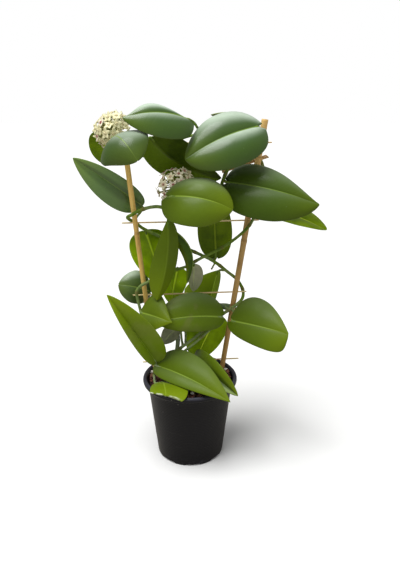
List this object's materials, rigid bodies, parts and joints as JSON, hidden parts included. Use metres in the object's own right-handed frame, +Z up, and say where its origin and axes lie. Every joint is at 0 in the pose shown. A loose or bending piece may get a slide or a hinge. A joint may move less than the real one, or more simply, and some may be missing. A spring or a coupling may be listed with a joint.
{
  "type": "potted hoya plant",
  "caption": "Climbing wax plant with thick leaves and star-flower umbels, trained up a bamboo ladder in a round plastic nursery pot filled with bark.",
  "frame": {"origin": "middle of the pot's underside", "axes": "+Z up; the plant is seen in the picture from -Y, with +X to the right"},
  "size_m": [0.3053, 0.1569, 0.434],
  "materials": {
    "pot": "smooth black plastic",
    "soil": "bark chips with perlite",
    "bamboo": "dry bamboo",
    "skewer": "split bamboo",
    "vine": "green stem",
    "leaf": "waxy leaf",
    "petals": "waxy petals"
  },
  "bodies": {
    "root": {"pot": "pot", "soil": "soil", "cane_left": "bamboo", "cane_right": "bamboo", "rung_1": "skewer", "rung_2": "skewer", "rung_3": "skewer", "rung_4": "skewer", "brace": "bamboo", "vine_left": "vine", "vine_right": "vine", "vine_twin": "vine", "vine_top": "vine", "flower_stub": "vine", "leaf_crown_right": "leaf", "leaf_crown_back": "leaf", "leaf_right_big": "leaf", "leaf_right_under": "leaf", "leaf_front_middle": "leaf", "leaf_crown_left": "leaf", "leaf_left_upper": "leaf", "leaf_left_back": "leaf", "leaf_left_big": "leaf", "leaf_left_small": "leaf", "leaf_left_hanging": "leaf", "leaf_front_long": "leaf", "leaf_middle_curled": "leaf", "leaf_middle_grey": "leaf", "leaf_middle_back": "leaf", "leaf_middle_dark": "leaf", "leaf_middle_low": "leaf", "leaf_centre_low": "leaf", "leaf_left_middle": "leaf", "leaf_left_low": "leaf", "leaf_front_low": "leaf", "leaf_front_right": "leaf", "leaf_rim_torn": "leaf", "leaf_right_low": "leaf", "leaf_right_behind": "leaf", "leaf_back_node": "leaf", "leaf_back_grey": "leaf", "leaf_back_narrow": "leaf", "leaf_crown_under": "leaf", "leaf_crown_small": "leaf", "umbel_left": "petals", "umbel_middle": "petals"}
  },
  "joints": []
}
